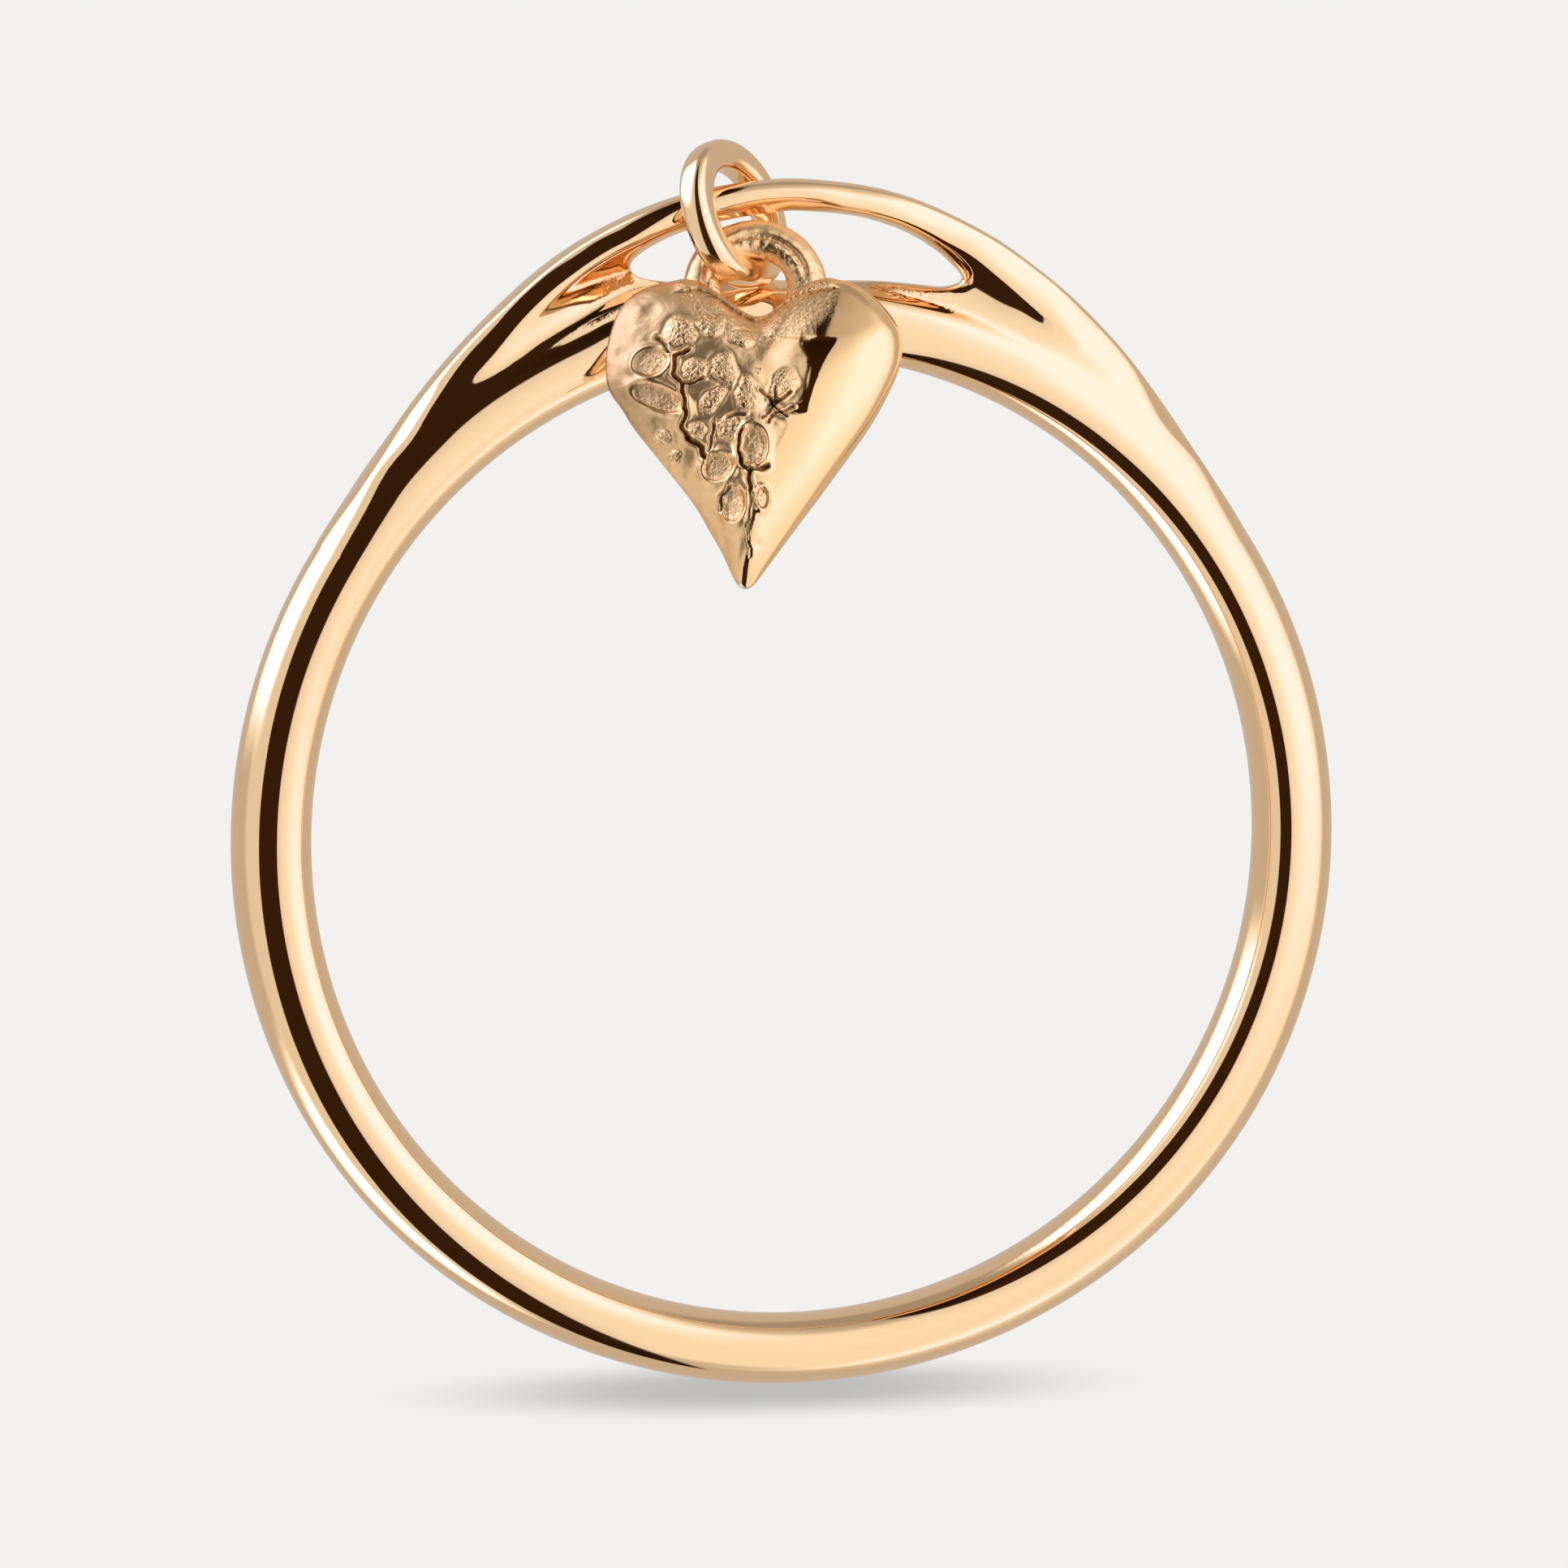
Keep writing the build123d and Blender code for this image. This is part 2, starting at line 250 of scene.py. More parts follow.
# The band: a lower strand that closes the finger hole and a thin upper strand that arches over it, joined at
# both forks by a web that thins out towards the open gap. Angles run clockwise from the top in degrees.
bandShape = {
    "holeRadius": 8.65,
    "crestShare": 0.425,  # where the section is thickest, as a share of its wall
    # angle, wall, half width along the finger
    "band": [
        (-180, 1.28, 0.85), (-165, 1.288, 0.85), (-150, 1.33, 0.85), (-135, 1.39, 0.85),
        (-120, 1.43, 0.85), (-100, 1.44, 0.85), (-75, 1.43, 0.85), (-60, 1.41, 0.85), (-50, 1.39, 0.842),
        (-40, 1.37, 0.816), (-30, 1.38, 0.773), (-20, 1.38, 0.73), (-10, 1.35, 0.685), (0, 1.34, 0.68),
        (10, 1.35, 0.685), (20, 1.38, 0.73), (30, 1.38, 0.773), (40, 1.37, 0.816), (50, 1.39, 0.842),
        (60, 1.39, 0.85), (75, 1.42, 0.85), (100, 1.44, 0.85), (120, 1.43, 0.85), (135, 1.39, 0.85),
        (150, 1.33, 0.85), (165, 1.288, 0.85), (180, 1.28, 0.85),
    ],
    # angle, radius of the outer edge at the forks
    "rim": [
        (-60, 10.06), (-52, 10.08), (-48, 10.15), (-44, 10.26), (-40, 10.40), (-36, 10.55), (-32, 10.72),
        (-28, 10.90), (-24, 11.12), (-20, 11.32), (-16, 11.49), (-12, 11.65), (-8, 11.76), (0, 11.84),
        (8, 11.76), (12, 11.66), (16, 11.51), (20, 11.36), (24, 11.17), (28, 11.00), (32, 10.82),
        (36, 10.65), (40, 10.47), (44, 10.31), (48, 10.16), (52, 10.08), (60, 10.02),
    ],
    "forkEnds": (46, 58),  # the section turns from the forks' to a plain oval between these angles
    "rimRounding": 0.07, "gapRounding": 0.20,
    "leastHalf": 0.03,  # half the thickness of the forks at their thinnest
    # angle, lift of the upper strand towards the heart's side
    "lift": [
        (-60, 0), (-50, 0), (-42, -0.15), (-26, -0.16), (-20, -0.10), (-15, 0.10), (-10, 0.34),
        (-6, 0.45), (0, 0.45), (6, 0.42), (12, 0.32), (16, 0.25), (20, 0.22), (24, 0.15), (28, 0.09),
        (32, 0.02), (38, -0.12), (44, -0.18), (50, 0), (60, 0),
    ],
    "liftRadii": (9.8, 10.8),  # the lift grows from none to whole between these radii
    # angle, then twelve radii, each with the fall of the front there in degrees, less than 0 where it rises:
    # side of the lower strand, ledge, foot, web, rise to the upper strand, its crest, its outer flank
    "falls": [
        (-44, 9.57, 16, 9.73, 27, 9.82, 32, 9.88, 35, 9.92, 37, 9.95, 39, 9.98, 41, 10.00, 43, 10.03, 46,
         10.07, 50, 10.12, 57, 10.20, 65),
        (-40, 9.59, 17, 9.77, 30, 9.85, 31, 9.90, 31, 9.94, 31, 9.98, 31, 10.01, 31, 10.04, 32, 10.07, 33,
         10.11, 35, 10.17, 40, 10.30, 55),
        (-36, 9.59, 19, 9.78, 31, 9.86, 31, 9.90, 29, 9.94, 28, 9.98, 27, 10.02, 26, 10.06, 25, 10.12, 25,
         10.18, 27, 10.25, 30, 10.42, 42),
        (-32, 9.56, 20, 9.75, 34, 9.84, 33, 9.88, 30, 9.92, 27, 9.97, 20, 10.02, 9, 10.07, 4, 10.13, 2,
         10.19, 10, 10.25, 20, 10.66, 44),
        (-28, 9.56, 23, 9.73, 37, 9.82, 32, 9.88, 27, 9.94, 31, 10.02, 23, 10.09, 6, 10.18, -6, 10.34, -12,
         10.44, 0, 10.56, 23, 10.94, 45),
        (-24, 9.57, 26, 9.70, 40, 9.81, 26, 9.88, 17, 9.96, 38, 10.08, 28, 10.14, 5, 10.35, -10, 10.58, -23,
         10.70, 0, 10.80, 26, 11.14, 46),
        (-20, 9.63, 30, 9.76, 42, 9.89, 32, 9.97, 17, 10.06, 48, 10.15, 38, 10.20, 5, 10.48, -14, 10.78, -42,
         10.94, 0, 11.01, 30, 11.36, 47),
        (-16, 9.68, 33, 9.77, 44, 9.88, 35, 9.99, 14, 10.15, 54, 10.26, 45, 10.31, 8, 10.56, -30, 10.93, -50,
         11.14, 0, 11.24, 33, 11.66, 46),
        (-10, 9.58, 24, 9.70, 34, 9.80, 40, 9.94, 52, 10.04, 30, 10.10, 12, 10.16, 6, 10.75, -28, 11.15, -39,
         11.40, 0, 11.60, 40, 11.80, 48),
        *((side, 9.56, 22, 9.66, 31, 9.78, 37, 9.90, 54, 9.98, 30, 10.02, 12, 10.08, 5, 10.90, -18, 11.44,
           -46, 11.57, 0, 11.66, 30, 11.77, 52) for side in (-3, 3)),
        (4.8, 9.58, 21, 9.70, 36, 9.82, 45, 9.92, 52, 9.98, 28, 10.02, 10, 10.08, 3, 10.80, -28, 11.22, -37,
         11.43, 0, 11.56, 24, 11.72, 47),
        (10, 9.60, 20, 9.75, 40, 9.86, 54, 9.93, 50, 9.98, 25, 10.02, 8, 10.08, 2, 10.80, -30, 11.17, -36,
         11.36, 0, 11.50, 22, 11.67, 44),
        (16, 9.50, 13, 9.72, 34, 9.82, 48, 9.92, 48, 9.96, 20, 10.00, 5, 10.20, -2, 10.55, -20, 10.92, -38,
         11.08, 0, 11.24, 16, 11.47, 38),
        (20, 9.48, 14, 9.70, 32, 9.80, 43, 9.90, 42, 9.95, 14, 10.10, 0, 10.40, -15, 10.47, -30, 10.69, -38,
         10.89, 0, 11.08, 14, 11.32, 36),
        (24, 9.48, 14, 9.70, 32, 9.78, 39, 9.86, 36, 9.92, 12, 10.05, 0, 10.33, -16, 10.41, -27, 10.46, -28,
         10.64, 0, 10.88, 14, 11.13, 35),
        (28, 9.52, 15, 9.68, 33, 9.76, 40, 9.83, 22, 9.89, 20, 9.97, 6, 10.10, -4, 10.22, -14, 10.34, -16,
         10.48, 0, 10.74, 15, 10.93, 36),
        (32, 9.56, 25, 9.72, 37, 9.79, 16, 9.87, 28, 9.94, 10, 10.02, 8, 10.08, 7, 10.14, 7, 10.22, 9,
         10.32, 14, 10.48, 21, 10.72, 38),
        (38, 9.55, 24, 9.71, 35, 9.80, 24, 9.87, 26, 9.93, 21, 9.98, 19, 10.03, 20, 10.08, 22, 10.13, 25,
         10.20, 27, 10.32, 32, 10.48, 44),
        (44, 9.50, 20, 9.68, 32, 9.80, 35, 9.86, 36, 9.91, 37, 9.95, 39, 9.98, 41, 10.01, 43, 10.04, 47,
         10.08, 52, 10.13, 58, 10.20, 66),
    ],
    # the open gap: angle, middle radius, half height before its ends are rounded
    "gap": [
        (-16.0, 10.62, 0.335), (-15.4, 10.60, 0.345), (-14.4, 10.584, 0.363), (-12.5, 10.585, 0.409),
        (-10.5, 10.58, 0.48), (-6, 10.585, 0.565), (0, 10.618, 0.637), (4.8, 10.614, 0.611),
        (7, 10.62, 0.58), (10.4, 10.605, 0.495), (13, 10.562, 0.418), (14.1, 10.533, 0.379),
        (15.5, 10.497, 0.341), (16.6, 10.462, 0.3), (17.9, 10.472, 0.235),
    ],
    "gapEnds": (-15.45, 17.9),
    "gapCorner": 7.0,  # how square its ends are
    "gapPoints": 161, "gapReach": 6,  # points along each edge, degrees past it where its rounding may reach
    "blur": {"band": 2.5, "rim": 1.0, "lift": 2.0, "falls": 1.1, "gap": 0.5},  # degrees, for each table
    # cast skin that the wheel left beside the gap's ends, on its floor and in the crease past its right end,
    # and thin worn pits by the finger hole: angle, half width in degrees, radius, half width in mm, dullness
    "skin": [
        (-17.2, 1.8, 10.40, 0.17, 0.30), (-19.0, 3.2, 9.92, 0.035, 0.30), (14.5, 2.6, 10.02, 0.06, 0.40),
        (10, 3.5, 9.98, 0.05, 0.25), (20.5, 3.5, 9.93, 0.03, 0.20), (32, 8, 8.74, 0.07, 0.06),
        (148, 7, 8.74, 0.07, 0.06),
    ],
    # the mesh: degrees from row to row at the forks and round the sides, reach and number of the rows that
    # crowd at each end of the gap, quads across the part below the gap and the part above it
    "forkStep": 0.3, "sideStep": 0.65, "endReach": 1.6, "endRows": 12, "columns": (38, 24),
    "seamShare": 0.72,  # where the two parts meet beyond the gap, as a share of the wall
    "seamBlend": 4.0,  # degrees over which that line leaves the gap's corner
    "markRadius": 9.3,  # the polishing marks' length is right at this radius
    "merge": 0.0008,  # points closer than this become one
}


# Half height of the open gap: its table's times sqrt(1 - |s|^corner), s from -1 to 1 between its ends
def gapHalf(shape, tables, u):
    left, right = shape["gapEnds"]
    share = np.clip((u - left) / (right - left), 0, 1) * 2 - 1
    return readRing(tables["gapHalf"], u) * np.sqrt(np.clip(1 - np.abs(share) ** shape["gapCorner"], 0, 1))


# Reads every table of the band once, smoothed along the ring, and finds the closed outline of the gap
def bandTables(shape):
    blur = shape["blur"]
    columns = {"wall": ("band", 1), "half": ("band", 2), "rim": ("rim", 1), "lift": ("lift", 1),
               "gapMiddle": ("gap", 1), "gapHalf": ("gap", 2)}
    tables = {key: ringTable(shape[name], column, blur[name]) for key, (name, column) in columns.items()}
    tables["falls"] = [ringTable(shape["falls"], c, blur["falls"]) for c in range(1, len(shape["falls"][0]))]
    left, right = shape["gapEnds"]
    share = np.sin(np.linspace(-np.pi / 2, np.pi / 2, shape["gapPoints"]))
    u = (left + right) / 2 + share * (right - left) / 2
    half = gapHalf(shape, tables, u)
    middle = readRing(tables["gapMiddle"], u)
    rho = np.concatenate([middle + half, (middle - half)[::-1]])
    turn = np.radians(np.concatenate([u, u[::-1]]))
    outline = np.stack([rho * np.sin(turn), rho * np.cos(turn)], -1)
    tables["outline"] = np.concatenate([outline, outline[:1]])
    return tables


# Distance in mm to the gap's outline, worked out near it only
def gapDistance(shape, tables, u, rho):
    left, right = shape["gapEnds"]
    near = (u > left - shape["gapReach"]) & (u < right + shape["gapReach"])
    turn = np.radians(u[near])
    distance = np.full(rho.shape, farAway)
    distance[near] = lineDistance(rho[near] * np.sin(turn), rho[near] * np.cos(turn), tables["outline"])
    return distance


# Height lost outwards from the lower strand's crest: the slope s = tan(fall) runs straight from knot to knot,
# so each run of length l adds s x + (s' - s) x^2 / 2 l
def heightLost(tables, u, rho, crest):
    at, slope, lost = crest, 0.0, 0.0
    for radius, fall in zip(tables["falls"][0::2], tables["falls"][1::2]):
        nextAt = readRing(radius, u)
        nextSlope = np.tan(np.radians(readRing(fall, u)))
        x = np.clip(rho - at, 0, nextAt - at)
        lost = lost + slope * x + (nextSlope - slope) * x ** 2 / (2 * (nextAt - at))
        at, slope = nextAt, nextSlope
    return lost + slope * np.clip(rho - at, 0, None)


# Round-over near an edge: sqrt(1 - (1 - d / r)^2) within a distance r of it
def rounded(distance, radius):
    return np.sqrt(1 - (1 - np.clip(distance / radius, 0, 1)) ** 2)


# Half thickness along the finger, and lift. Inside the crest it is half sqrt(1 - t^2) with t the share of the
# way to the hole. Outside it is the same to the rim round the band, and at the forks half less the height
# lost, rounded at the rim and at the gap.
def bandDepth(shape, tables, u, rho):
    wall, half, rim = (readRing(tables[key], u) for key in ("wall", "half", "rim"))
    hole = shape["holeRadius"]
    crest = hole + shape["crestShare"] * wall
    fork = smoothStep(shape["forkEnds"][1], shape["forkEnds"][0], np.abs(u))
    rim = np.where(fork > 0, rim, hole + wall)
    t = np.where(rho < crest, (crest - rho) / (crest - hole), (rho - crest) / (rim - crest))
    oval = half * np.sqrt(np.clip(1 - t ** 2, 0, 1))
    lift = readRing(tables["lift"], u) * smoothStep(*shape["liftRadii"], rho)
    front = half - heightLost(tables, u, rho, crest)
    slab = np.clip(front - lift, shape["leastHalf"], None) * rounded(rim - rho, shape["rimRounding"])
    slab = slab * rounded(gapDistance(shape, tables, u, rho), shape["gapRounding"])
    return np.where(rho < crest, oval, fork * slab + (1 - fork) * oval), lift


# 1 where the wheel left the cast skin: the sum of dullness times a bell in angle times a bell in radius
def castSkinOnBand(shape, u, rho):
    patches = [dull * bell(u - angle, spread) * bell(rho - radius, width)
               for angle, spread, radius, width, dull in shape["skin"]]
    return np.clip(sum(patches), 0, 1)


# Angles of the rows, evenly spaced at the forks and round the sides, and reach (k / n)^2 from each gap end
def bandRows(shape):
    forkEnd, reach = shape["forkEnds"][1], shape["endReach"]
    sides = np.arange(forkEnd, 360 - forkEnd, shape["sideStep"])
    rows = np.concatenate([np.arange(-forkEnd, forkEnd, shape["forkStep"]),
                           np.where(sides > 180, sides - 360, sides)])
    near = reach * (np.arange(shape["endRows"] + 1) / shape["endRows"]) ** 2
    for end in shape["gapEnds"]:
        far = rows[np.abs(rows - end) > reach + shape["forkStep"] / 3]
        rows = np.concatenate([far, np.unique([end - near, end + near])])
    return np.sort(rows)


# Four grids of angle by radius: front and back of the part below the gap and of the part above it, which meet
# at the gap's middle line beyond its ends. Radii are spaced by (1 - cos) / 2 so that edges are fine.
def makeBand(shape, material):
    tables = bandTables(shape)
    left, right = shape["gapEnds"]
    hole = shape["holeRadius"]
    u = bandRows(shape)[:, None]
    rim = np.where(np.abs(u) < shape["forkEnds"][1], readRing(tables["rim"], u),
                   hole + readRing(tables["wall"], u))
    away = np.where(u > 0, u - right, left - u)
    inGap = away <= 1e-9
    corner = np.where(u > 0, readRing(tables["gapMiddle"], right), readRing(tables["gapMiddle"], left))
    seam = hole + shape["seamShare"] * (rim - hole)
    seam = seam + (corner - seam) * np.exp(-np.clip(away, 0, None) / shape["seamBlend"])
    middle = np.where(inGap, readRing(tables["gapMiddle"], u), seam)
    half = gapHalf(shape, tables, u)
    inner = np.full_like(u, hole)
    sheets, faces, uvs, skins, start = [], [], [], [], 0
    # each part: lower and upper edge, its column along the gap, its column along the hole or the outer edge
    parts = ((inner, middle - half, -1, 0), (middle + half, rim, 0, -1))
    for (low, high, gapColumn, rimColumn), count in zip(parts, shape["columns"]):
        spread = (1 - np.cos(np.pi * np.arange(count + 1) / count)) / 2
        rho = low + (high - low) * spread[None, :]
        angle = np.broadcast_to(u, rho.shape)
        depth, lift = bandDepth(shape, tables, angle, rho)
        depth[inGap[:, 0], gapColumn] = 0
        depth[:, rimColumn] = 0
        turn = np.radians(angle)
        skin = castSkinOnBand(shape, angle, rho)
        for way in (1, -1):
            points = np.stack([rho * np.sin(turn), rho * np.cos(turn), lift + way * depth], -1)
            sheets.append(points.reshape(-1, 3))
            faces.append(gridFaces(*rho.shape, start=start, closeRows=True, flip=way > 0))
            uvs.append(np.stack([turn * shape["markRadius"], (rho - hole) * way], -1).reshape(-1, 2))
            skins.append(skin.ravel())
            start += rho.size
    addPiece("ringBand", np.concatenate(sheets), faces, "ring_band", material,
             uv=np.concatenate(uvs), attributes={"castSkin": np.concatenate(skins)}, merge=shape["merge"])


# The jump ring: wire bent to a closed circle, a little flattened, leaning on the arch
jumpShape = {
    "centre": (-1.0278, 11.1914, 0.5474), "facing": (0.6897, 0.3213, 0.6489), "radius": 1.115, "wire": 0.275,
    "squareness": 2.9,  # 2 is a round wire; more gives the wire a soft edge
    "around": 192, "across": 64,  # quads round the circle and round the wire
    "roughness": 0.07,  # the wire's polish is duller than the band's
}


# A torus: centre + (radius + k cos v) (a cos t + b sin t) + k sin v n, with a, b and the facing n at right
# angles and k = wire (|cos v|^p + |sin v|^p)^(-1 / p)
def makeJumpRing(shape, material):
    n = np.array(shape["facing"])
    n = n / np.linalg.norm(n)
    a = np.cross([0, 0, 1], n)
    a /= np.linalg.norm(a)
    b = np.cross(n, a)
    t = np.linspace(0, 2 * np.pi, shape["around"], endpoint=False)[:, None, None]
    v = np.linspace(0, 2 * np.pi, shape["across"], endpoint=False)[None, :, None]
    p = shape["squareness"]
    k = shape["wire"] * (np.abs(np.cos(v)) ** p + np.abs(np.sin(v)) ** p) ** (-1 / p)
    reach = shape["radius"] + k * np.cos(v)
    points = np.array(shape["centre"]) + reach * (a * np.cos(t) + b * np.sin(t)) + k * np.sin(v) * n
    uv = np.stack(np.broadcast_arrays(t[..., 0] * shape["radius"], v[..., 0] * shape["wire"]), -1)
    faces = gridFaces(shape["around"], shape["across"], closeRows=True, closeColumns=True, flip=True)
    addPiece("jumpRing", points.reshape(-1, 3), [faces], "jump_ring", material,
             uv=uv.reshape(-1, 2), attributes={"castSkin": np.zeros(shape["around"] * shape["across"])})


# The heart with its cast loop, in its own plane: x to the right, y up, z out of the front, from the middle
# of the CAD's loop
heartShape = {
    "origin": (-0.7439, 10.0355, 1.0821), "facing": (-0.14789, 0.38861, 0.90946),
    "middle": (0.0, -2.05),  # where the rings of the surface shrink to
    # outline, clockwise from the cleft
    "outline": [
        (0.05, -0.80), (0.50, -0.50), (0.92, -0.16), (1.23, -0.06), (1.53, -0.06), (1.81, -0.16),
        (2.05, -0.33), (2.28, -0.54), (2.46, -0.80), (2.57, -0.98), (2.61, -1.24), (2.59, -1.52),
        (2.50, -1.85), (2.29, -2.30), (2.02, -2.79), (1.61, -3.39), (1.12, -4.08), (0.64, -4.74),
        (0.15, -5.42), (-0.09, -5.76), (-0.20, -5.87), (-0.34, -5.86), (-0.46, -5.68), (-0.66, -5.18),
        (-0.86, -4.81), (-1.12, -4.31), (-1.53, -3.73), (-1.92, -3.21), (-2.28, -2.72), (-2.43, -2.42),
        (-2.60, -2.22), (-2.68, -2.00), (-2.70, -1.75), (-2.69, -1.40), (-2.58, -0.92), (-2.38, -0.50),
        (-2.13, -0.26), (-1.80, -0.12), (-1.35, -0.04), (-0.95, -0.12), (-0.45, -0.52),
    ],
    "thickness": 1.30,
    "lobesFrom": (-0.6, 1.2),  # x between which the left lobe's value below turns into the right lobe's
    "edge": (0.33, 0.34),  # height of the outline, as a share of the thickness
    "domePower": (2.3, 3.3), "domeRoundness": (0.80, 0.54),
    # y, x of the edge of the polished right side, width and height of the step down from it
    "ridge": [
        (-6.0, -0.25, 0.20, 0), (-4.6, 0.10, 0.20, 0), (-3.6, 0.42, 0.20, 0), (-3.1, 0.68, 0.20, 0.0),
        (-2.87, 0.84, 0.30, 0.0), (-2.80, 0.86, 0.33, 0.08), (-2.68, 0.88, 0.29, 0.07),
        (-2.60, 0.90, 0.16, 0.045), (-2.32, 0.98, 0.15, 0.042), (-2.0, 1.07, 0.18, 0.045),
        (-1.75, 1.20, 0.32, 0.055), (-1.5, 1.36, 0.58, 0.08), (-1.42, 1.40, 0.62, 0.085),
        (-1.36, 1.42, 0.62, 0.0), (0.1, 1.30, 0.60, 0),
    ],
    "ridgeFade": (-0.2, 0.70),  # x between which the step runs out to the left
    "ridgeEnd": (1.0, 0.55),  # shares of the outline between which it runs out at the edge
    # the shoulder above which the right lobe leans back: a point on it, its slope, lean in degrees, rounding,
    # and x between which it starts
    "shoulder": (1.46, -1.90, 0.81, 11), "shoulderRounding": 0.05, "shoulderFrom": (0.2, 1.1),
    # raised rims round hollow floors: x, y, half sizes, turn
    "craters": [
        (-1.92, -1.78, 0.31, 0.27, 0), (-1.79, -2.44, 0.54, 0.20, -28), (-0.12, -3.44, 0.26, 0.38, 0),
        (-0.74, -3.76, 0.28, 0.25, 0), (-0.47, -4.45, 0.20, 0.31, 0), (0.04, -4.38, 0.11, 0.19, 0),
    ],
    # low rough-topped lumps: x, y, half sizes, turn
    "pebbles": [
        (-1.40, -1.26, 0.30, 0.30, 0), (-0.83, -1.15, 0.25, 0.23, 20), (-1.14, -1.99, 0.27, 0.20, 15),
        (-0.62, -2.02, 0.24, 0.34, 25), (-0.85, -2.58, 0.30, 0.17, 45), (-0.20, -2.50, 0.24, 0.31, 10),
        (-0.57, -3.09, 0.22, 0.24, 0), (-1.11, -3.08, 0.17, 0.17, 0), (-1.72, -3.10, 0.15, 0.13, 0),
        (-1.52, -3.46, 0.13, 0.12, 0), (0.45, -2.28, 0.22, 0.34, -25), (-0.28, -1.42, 0.22, 0.18, 0),
    ],
    # shallow dents: x, y, radius
    "dents": [
        (-1.27, -3.86, 0.16), (-0.94, -4.47, 0.16), (-0.66, -5.05, 0.12), (-2.36, -1.02, 0.22),
        (-2.42, -1.53, 0.20), (-1.89, -0.73, 0.22), (-2.15, -2.95, 0.12), (-0.05, -5.15, 0.09),
    ],
    # cracks: width, depth, points
    "cracks": [
        (0.026, 0.12, [(-1.80, -1.30), (-1.66, -1.48), (-1.60, -1.62)]),
        (0.028, 0.13, [(-1.22, -1.58), (-1.34, -1.66), (-1.50, -1.70), (-1.47, -1.86), (-1.53, -2.02),
            (-1.38, -2.22), (-1.34, -2.45), (-1.30, -2.75), (-1.38, -3.00), (-1.26, -3.18)]),
        (0.036, 0.12, [(-1.26, -3.18), (-1.04, -3.36), (-0.98, -3.55)]),
        (0.018, 0.08, [(-1.38, -2.22), (-1.15, -2.24), (-0.98, -2.16)]),
        (0.022, 0.08, [(-0.56, -2.90), (-0.42, -2.86), (-0.25, -2.86)]),
        (0.022, 0.08, [(-0.90, -3.45), (-0.84, -3.22), (-0.80, -2.98)]),
        (0.022, 0.10, [(-0.31, -3.13), (-0.38, -3.34), (-0.37, -3.58)]),
        (0.034, 0.13, [(-0.37, -3.58), (-0.32, -3.76), (-0.19, -3.88), (0.00, -3.87), (0.13, -3.80)]),
        (0.028, 0.11, [(-0.19, -3.88), (-0.19, -4.08), (-0.17, -4.25)]),
        (0.012, 0.06, [(-0.17, -4.25), (-0.19, -4.55), (-0.27, -4.85), (-0.22, -5.10), (-0.16, -5.38)]),
        (0.032, 0.10, [(-0.55, -4.12), (-0.68, -4.28), (-0.70, -4.50)]),
        (0.020, 0.08, [(0.56, -2.44), (0.33, -2.60), (0.24, -2.72), (0.06, -2.92)]),
        (0.018, 0.08, [(0.02, -2.42), (0.20, -2.58), (0.30, -2.76), (0.50, -2.90)]),
        (0.016, 0.07, [(0.30, -2.36), (0.27, -2.62)]),
        (0.018, 0.07, [(0.16, -3.02), (0.28, -2.84), (0.62, -2.70)]),
    ],
    "crackWaver": 0.012, "crackLip": (2.2, 0.02), "paintedShade": 0.8,  # lip: widths away, height; painted shade round a crack: widths
    "castEdge": (0.05, -0.07),  # mm right of the step's foot where the polish ends and where all is cast
    "skin": 0.82, "dullerFrom": (-1.2, -2.0),  # dullness of the cast skin, x between which it grows to 1
    "castGrain": 0.10, "castWaves": 0.013,
    # places and widths below are shares of a spot's radius
    "pebbleHeight": 0.055, "pebbleSkin": 0.45, "pebbleEdge": (1.05, 0.85), "pebbleGrain": (1.08, 0.85),
    "moat": (1.14, 0.12, 0.008),  # round each pebble: place, width, depth
    "rim": (1.12, 0.26, 0.055),  # round each crater: place, width, height
    "rimPolish": (1.1, 0.16, 0.45),  # place, width, share of the dullness that is gone
    "floor": (1.0, 0.75, 0.015), "floorGrain": (0.98, 0.8, 0.8),  # from, to, depth or strength
    "dentDepth": 0.03,
    "leftShade": 0.34, "leftShadeFrom": (-1.4, -2.5),  # painted shade over the left lobe, x between which it grows
    "porousPatch": (0.24, -2.70, 0.20, 0.30, 0),  # porous spot: x, y, half sizes, turn
    "poreSpread": 0.85, "poreDepth": 0.022, "poreSink": 0.03, "poreShade": (-0.9, -1.6),  # painted shade in its lows
    # the loop: its ring's middle radius, half width and half depth, and how far it lies under the CAD's
    "loopRadius": 0.93, "loopWall": 0.355, "loopHalf": 0.27, "loopDrop": 0.14,
    # its relief: place across the wire, width, depth or height
    "loopGroove": (-0.02, 0.055, 0.06), "loopBead": (-0.17, 0.09, 0.012), "loopSlant": (0.0, 0.30, 0.03),
    "loopUpper": (-0.25, 0.45, 0.15),  # heights, in radii, between which that relief starts; its turn
    "loopLumps": 0.012, "loopSwell": 0.004,
    "loopSkin": (0.75, 0.35),  # dullness, and what the bead has less
    "loopGrain": (0.10, 0.6, 0.45, 0.6),  # everywhere, more in the groove, on the bead and low down
    # painted shade in the loop's groove
    "loopShade": 0.10,
    "filletHeight": (0.10, 0.14), "filletGrain": (0.8, 0.16), "filletSkin": (0.6, 0.20),  # strength, width
    "filletBelow": 0.75,  # the fillet stays under this height
    # the mesh: quads round the outline, and from the middle to the front's edge, down the wall, over the back
    "around": 420, "frontRings": 104, "wallRings": 8, "backRings": 26,
    "ringSpacing": 0.9,  # below 1 the rings crowd a little at the edge
    "wallLean": 0.10,  # how far the wall leans in towards the back, as a share of the outline
    "backSkin": 0.45, "backGrain": 0.135,
    "loopAround": 240, "loopAcross": 80,
}


